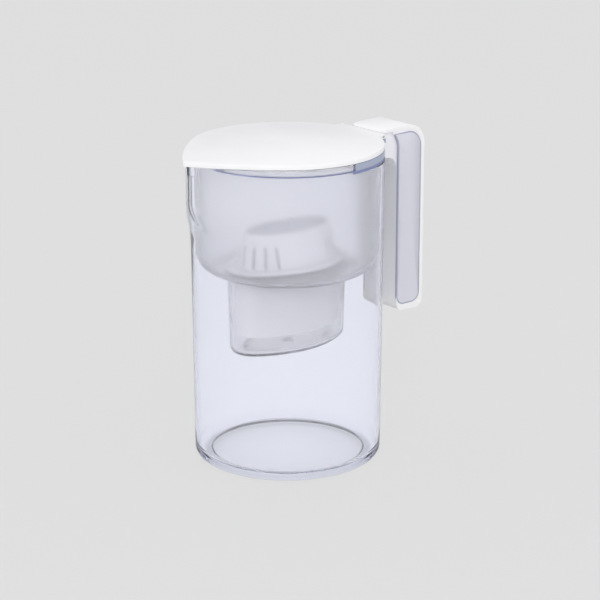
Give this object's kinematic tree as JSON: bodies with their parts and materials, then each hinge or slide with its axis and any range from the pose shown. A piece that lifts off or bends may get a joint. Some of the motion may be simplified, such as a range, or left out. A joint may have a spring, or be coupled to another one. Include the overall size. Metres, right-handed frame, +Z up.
{
  "type": "water filter pitcher",
  "caption": "Round clear pitcher with a pointed spout, an open-ended handle and a flip lid, over a lift-out funnel that holds an oval filter cartridge.",
  "frame": {"origin": "centre of the jug's foot ring, on the table", "axes": "+Z up along the jug's axis, +X towards the handle, so the pouring spout points along -X; the part is symmetric about the XZ plane"},
  "size_m": [0.209, 0.14, 0.2344],
  "materials": {
    "clear_plastic": "gloss",
    "frosted_plastic": "satin",
    "white_plastic": "satin",
    "handle_plastic": "satin",
    "tinted_plastic": "gloss",
    "dark_seal": "satin",
    "pale_seal": "satin",
    "cartridge_plastic": "satin",
    "screen_mesh": "matte",
    "carbon": "matte",
    "resin": "satin",
    "steel": "satin"
  },
  "bodies": {
    "jug": {"jug_body": "clear_plastic", "handle_core": "handle_plastic", "handle_cover": "white_plastic"},
    "upper_funnel": {"funnel": "frosted_plastic", "rim_seal": "dark_seal", "hinge_frame": "tinted_plastic", "hinge_pin": "steel"},
    "lid": {"flip_lid": "white_plastic"},
    "cartridge": {"cartridge_cup": "cartridge_plastic", "cartridge_hood": "cartridge_plastic", "cartridge_seal": "pale_seal", "inlet_mesh": "screen_mesh", "divider_mesh": "screen_mesh", "outlet_mesh": "screen_mesh", "carbon_bed": "carbon", "resin_bed": "resin"}
  },
  "joints": [
    {"name": "funnel_lift", "type": "slide", "parent": "jug", "child": "upper_funnel", "axis": [0, 0, 1], "range_m": [0, 0.15]},
    {"name": "lid_hinge", "type": "hinge", "parent": "upper_funnel", "child": "lid", "pos_m": [0.0712, 0, 0.2309], "axis": [0, 1, 0], "range_deg": [0, 95]},
    {"name": "cartridge_lift", "type": "slide", "parent": "upper_funnel", "child": "cartridge", "axis": [0, 0, 1], "range_m": [0, 0.048]}
  ]
}
